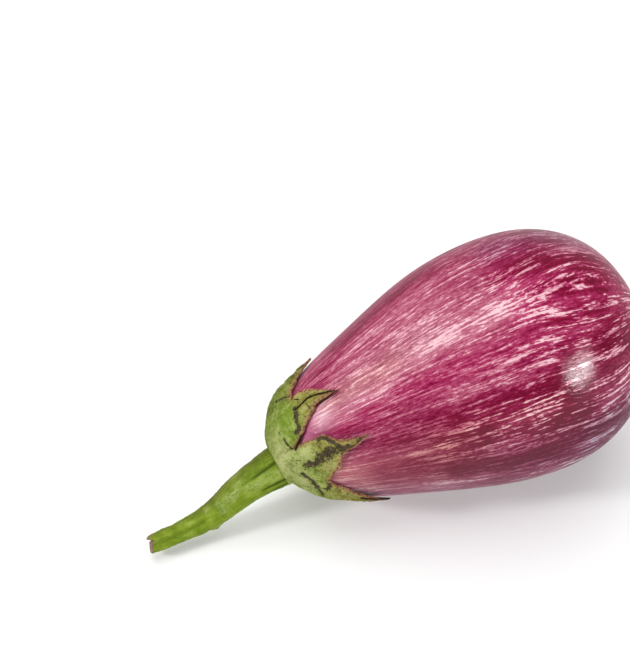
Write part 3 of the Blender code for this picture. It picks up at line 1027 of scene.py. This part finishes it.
def stem_path():
    """Centres and directions of the stem's rows, from inside the calyx to the cut."""
    share = np.linspace(0, 1, STEM_ROWS)
    directions = np.array([stem_direction(droop) for droop in along_stem(DROOPS, share)])
    steps = directions[:-1] * (STEM_LENGTH / (STEM_ROWS - 1))
    start = SEAT_CENTRE - SEAT_NORMAL * STEM_SINK
    centres = start + np.vstack((np.zeros(3), np.cumsum(steps, axis=0)))
    return share, centres, directions


def groove_depth(share, turn, radius):
    depth = np.zeros((len(share), len(turn)))
    for first_angle, first_share, last_angle, last_share, half_width, deep in GROOVES:
        middle = np.interp(share, (first_share, last_share), (first_angle, last_angle))
        fade = ease((share - first_share) / 0.08 + (first_share < 0.01))
        fade = fade * ease((last_share - share) / 0.12 + (last_share > 0.99))
        across = angle_between(turn[None, :], middle[:, None]) / half_width
        strength = (fade * np.sqrt(radius / radius.max()))[:, None] * np.exp(-across ** 2)
        depth = np.maximum(depth, deep * MM * strength)
    return depth


def wart_height(share, turn, radius):
    height = np.zeros((len(share), len(turn)))
    for angle, where, rise, half_width in WARTS:
        across = np.radians(angle_between(turn[None, :], angle)) * radius[:, None] / (half_width * MM)
        along = (share[:, None] - where) * STEM_LENGTH / (1.6 * half_width * MM)
        height = height + rise * MM * np.exp(-across ** 2 - along ** 2)
    return height


def stem_material():
    tree = Tree("stem_green")
    flow = tree.attribute("flow", "Vector")
    broad = tree.noise(flow, 0.22, 3, 0.6)
    fibre = tree.noise(tree.vector("MULTIPLY", flow, (0.2, 1, 1)), 1.2, 3, 0.6)
    fine = tree.noise(flow, 1.5, 4, 0.65)
    groove, wart, shade, edge, cut = (
        tree.attribute(name) for name in ("groove", "wart", "shade", "edge", "cut")
    )
    mottle = tree.add(tree.mixture((broad, 0.8), (fibre, 0.55), (fine, 0.35)), 0.5)
    green = tree.ramp(mottle, (
        (0.3, (0.11, 0.18, 0.008)),
        (0.46, (0.16, 0.235, 0.01)),
        (0.58, (0.205, 0.285, 0.02)),
        (0.74, (0.27, 0.35, 0.06)),
    ))
    olive = tree.ramp(mottle, ((0.35, (0.065, 0.085, 0.006)), (0.65, (0.155, 0.185, 0.025))))
    # The grooves are painted darker the deeper they are: painted shade in the grooves.
    deep = tree.times(groove, 0.6)
    hollow = tree.ramp(deep, ((0.35, (0.095, 0.155, 0.004)), (0.85, (0.03, 0.045, 0.006))))
    flesh = tree.ramp(fine, ((0.35, (0.1, 0.045, 0.03)), (0.65, (0.33, 0.2, 0.14))))
    # Wart tops and the rib are painted pale: partly pale warts, partly a painted highlight.
    pale = tree.times(wart, tree.remap(tree.mixture((fine, 1), (fibre, 0.6)), -0.25, 0.15))
    colour = tree.coats(
        green,
        (tree.times(shade, 0.85), olive),
        (tree.times(pale, 0.85), (0.31, 0.375, 0.115)),
        (tree.remap(groove, 0.1, 1.1, 0, 0.9), hollow),
        (tree.times(edge, tree.remap(fine, 0.35, 0.6)), (0.105, 0.07, 0.018)),
        (tree.remap(cut, 0.25, 0.7), flesh),
    )
    return tree.finish({
        "Base Color": colour,
        "Normal": tree.bump(tree.mixture((fine, 1), (fibre, 0.8)), 0.0004, 0.8),
        "Roughness": 0.5,
        "Specular IOR Level": 0.07,
    })


def stem_fields(share, turn, radius, depth, height):
    """Where the stem is grooved, warty, olive, brown-edged or cut, on its grid of points."""
    def near(angle, spread):
        return np.exp(-(angle_between(turn, angle) / spread) ** 2)

    share = np.repeat(share[:, None], len(turn), 1)
    around = np.radians(angle_between(turn, BUD[0])) * radius[:, None] / MM
    bud = np.hypot(around, (share - BUD[1]) * STEM_LENGTH / MM) / BUD[2]
    rib = near(RIB[0], RIB[2]) * np.exp(-((share - RIB[1]) / RIB[3]) ** 2)
    tired = near(*TIRED_SIDE) * ease((0.75 - share) / 0.3)
    return {
        "groove": depth / (0.6 * MM),
        "wart": np.clip(height / (0.35 * MM), 0, 1) + 0.8 * rib,
        "shade": near(*OLIVE_SIDE) * (0.65 + 0.35 * ease((0.8 - share) / 0.3)),
        "edge": np.maximum(0.7 * tired, 0.8 * near(*BROWN_SIDE)),
        "cut": np.maximum(ease(share, 0.992, 0.008), np.exp(-bud ** 2)),
    }


def build_stem():
    share, centres, directions = stem_path()
    side = unit(np.cross(directions, UPWARD))
    over = np.cross(side, directions)
    radius = along_stem(RADII, share) * MM
    turn = np.arange(STEM_SIDES) * 360 / STEM_SIDES
    depth = groove_depth(share, turn, radius)
    height = wart_height(share, turn, radius)
    wide = np.radians(turn)[None, :]
    spread = radius[:, None] - depth + height
    ring = side[:, None] * np.cos(wide)[..., None] + over[:, None] * np.sin(wide)[..., None]
    points = centres[:, None] + ring * spread[..., None]
    rough = 0.13 * MM * soft_noise(points, 5 * MM, 21)
    rough = rough + 0.06 * MM * soft_noise(points, 1.3 * MM, 22)
    points = points + ring * (rough * (0.6 + ease(height / (0.3 * MM))))[..., None]
    across = np.sin(np.radians(turn - CUT_FACING))
    places, stands = np.array(CUT_OUTLINE).T
    near_end = ease(share, CUT_START, 1 - CUT_START)[:, None]
    stand = near_end * np.interp(across, places, stands)[None, :] * MM
    rings = [points + directions[:, None] * stand[..., None]]
    for step in range(1, CUT_RINGS):
        inward = 1 - step / CUT_RINGS
        hollow = np.interp(inward * across, places, stands) * MM - CUT_HOLLOW * (1 - inward ** 2)
        disc = centres[-1] + ring[-1] * (spread[-1] * inward)[..., None]
        rings.append((disc + directions[-1] * hollow[..., None])[None])
    middle = centres[-1] + directions[-1] * (np.interp(0, places, stands) * MM - CUT_HOLLOW)
    stem = add_rings("cut_stem", np.concatenate(rings), centres[0], middle, stem_material())
    for name, values in stem_fields(share, turn, radius, depth, height).items():
        end = np.full((CUT_RINGS - 1, STEM_SIDES), 1 if name == "cut" else 0)
        add_attribute(stem, name, np.concatenate((values, end)))
    rows = np.concatenate((share, np.ones(CUT_RINGS - 1))) * STEM_LENGTH
    girth = np.concatenate((radius, np.full(CUT_RINGS - 1, radius[-1])))[:, None]
    flow = np.broadcast_arrays(rows[:, None], girth * np.cos(wide), girth * np.sin(wide))
    flow = np.stack(flow, -1) / MM
    add_attribute(stem, "flow", flow)
    return stem


# ---------- stage

# Directions of the lights from the fruit, then the lights: name, direction, width, height,
# power, and whether the light only shows as a reflection or only lights up the colours.
ABOVE = (0.02, 0.27, 0.95)
LEFT = (-0.86, 0.03, 0.51)
RIGHT = (0.48, -0.82, 0.32)
LIGHT_DISTANCE = 1.3
LIGHTS = (
    ("ceiling", ABOVE, 1.6, 1.6, 20.5, False),
    ("soft_left", LEFT, 0.19, 0.19, 9, False),
    ("soft_right", RIGHT, 0.19, 0.19, 8.5, False),
    ("glint_left", LEFT, 0.24, 0.24, 28, True),
    ("glint_right", RIGHT, 0.34, 0.18, 25, True),
)
LIT_POINT = Vector((0, 0, 0.04))
WORLD_LIGHT = 0.18
FLOOR_HALF = 3
FLOOR_COLOUR = 0.65
NEAR_GLOW = 0.25
FAR_GLOW = 1
GLOW_START = 0.35
GLOW_END = 1


def add_light(name, direction, width, height, power, glint):
    light = bpy.data.lights.new(name, "AREA")
    light.shape = "RECTANGLE"
    light.size = width
    light.size_y = height
    light.energy = power
    item = bpy.data.objects.new(name, light)
    item.visible_diffuse = not glint
    item.visible_glossy = glint
    item.location = LIT_POINT + Vector(direction) * LIGHT_DISTANCE
    item.rotation_euler = (LIT_POINT - item.location).to_track_quat("-Z", "Y").to_euler()
    bpy.context.scene.collection.objects.link(item)


def floor_material():
    """Pale floor that glows softly from within, weakly near the fruit, which lightens its shadow, and
    fully further out, so that it has no dark horizon.
    """
    tree = Tree("pale_floor")
    place = tree.nodes.new("ShaderNodeTexCoord").outputs["Object"]
    away = tree.vector("LENGTH", place, output="Value")
    return tree.finish({
        "Base Color": (FLOOR_COLOUR, FLOOR_COLOUR, FLOOR_COLOUR, 1),
        "Roughness": 0.8,
        "Specular IOR Level": 0.1,
        "Emission Color": (1, 1, 1, 1),
        "Emission Strength": tree.remap(away, GLOW_START, GLOW_END, NEAR_GLOW, FAR_GLOW),
    })


def build_world():
    """Soft light from all round, which the camera sees as plain white."""
    world = bpy.data.worlds.new("studio")
    world.use_nodes = True
    nodes, links = world.node_tree.nodes, world.node_tree.links
    background = nodes["Background"]
    background.inputs["Color"].default_value = (1, 1, 1, 1)
    strength = nodes.new("ShaderNodeMapRange")
    strength.inputs["To Min"].default_value = WORLD_LIGHT
    strength.inputs["To Max"].default_value = 1
    links.new(nodes.new("ShaderNodeLightPath").outputs["Is Camera Ray"], strength.inputs["Value"])
    links.new(strength.outputs[0], background.inputs["Strength"])
    bpy.context.scene.world = world


def build_stage():
    half = FLOOR_HALF
    corners = [(-half, -half, 0), (half, -half, 0), (half, half, 0), (-half, half, 0)]
    floor = add_object("floor", corners, [(0, 1, 2, 3)], floor_material())
    build_world()
    for light in LIGHTS:
        add_light(*light)


def build_camera():
    azimuth, elevation = math.radians(CAMERA_AZIMUTH), math.radians(CAMERA_ELEVATION)
    forward = Vector((
        -math.sin(azimuth) * math.cos(elevation),
        math.cos(azimuth) * math.cos(elevation),
        -math.sin(elevation),
    ))
    camera = bpy.data.cameras.new("camera")
    camera.lens = CAMERA_LENS
    camera.sensor_width = 36
    item = bpy.data.objects.new("camera", camera)
    item.location = CAMERA_AIM - forward * CAMERA_DISTANCE
    item.rotation_euler = forward.to_track_quat("-Z", "Y").to_euler()
    bpy.context.scene.collection.objects.link(item)
    bpy.context.scene.camera = item


def build_all():
    for piece, node, slot in (
        (build_fruit(), "fruit", "skin"),
        (build_calyx(), "calyx", "calyx_green"),
        (build_stem(), "stem", "stem_green"),
    ):
        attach(piece, "root")
        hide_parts(node)
    build_stage()
    build_camera()
    bpy.context.scene.view_settings.view_transform = "Standard"


build_all()
